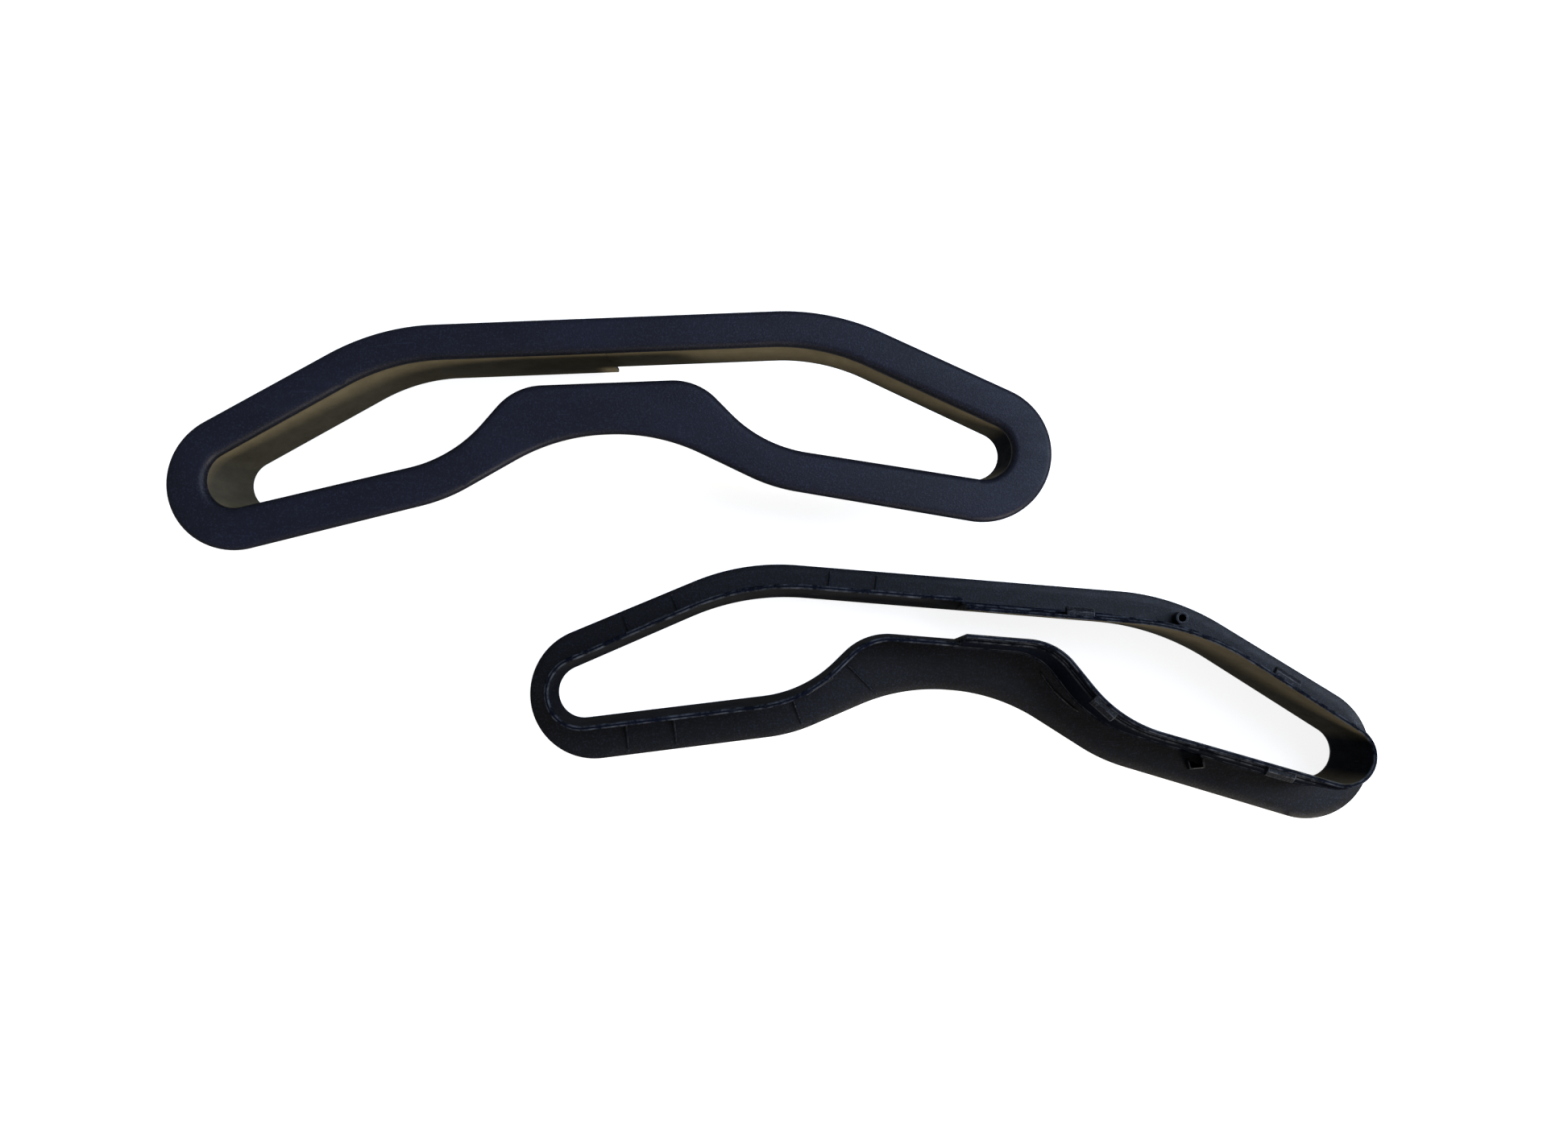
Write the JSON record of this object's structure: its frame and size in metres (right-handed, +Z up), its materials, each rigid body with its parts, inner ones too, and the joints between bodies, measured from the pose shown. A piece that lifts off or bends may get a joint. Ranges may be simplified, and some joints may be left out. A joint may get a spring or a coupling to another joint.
{
  "type": "snap-together opening trim bezel",
  "caption": "Pair of moulded trim bezels that snap together from both sides to line a long two-lobed belt opening in a padded panel.",
  "frame": {"origin": "middle of the pair's footprint, on the surface that the pair lies on", "axes": "+X along the openings, +Y from the rear bezel to the front bezel, +Z up, along the direction in which the bezels snap together"},
  "size_m": [0.445, 0.1862, 0.0382],
  "materials": {
    "face": "soft fine-grained matte, navy black",
    "sleeve": "smooth moulded satin, warm black",
    "detail": "satin moulded edges, navy black"
  },
  "bodies": {
    "rear_bezel": {"rear_trim_flange": "face", "rear_deep_sleeve": "sleeve", "rear_tip_lip": "sleeve", "rear_snap_blocks": "detail", "rear_shallow_sleeve": "sleeve", "rear_catch_bars": "detail", "rear_gussets": "detail", "rear_locating_boss": "detail", "rear_latch_pocket": "detail", "rear_grip_ridge": "detail"},
    "front_bezel": {"front_trim_flange": "face", "front_deep_sleeve": "sleeve", "front_tip_lip": "sleeve", "front_snap_blocks": "detail", "front_shallow_sleeve": "sleeve", "front_catch_bars": "detail", "front_gussets": "detail", "front_locating_boss": "detail", "front_latch_pocket": "detail", "front_grip_ridge": "detail"}
  },
  "joints": [
    {"name": "front_bezel_lift", "type": "slide", "parent": "rear_bezel", "child": "front_bezel", "axis": [0, 0, 1], "range_m": [0, 0.12]}
  ]
}
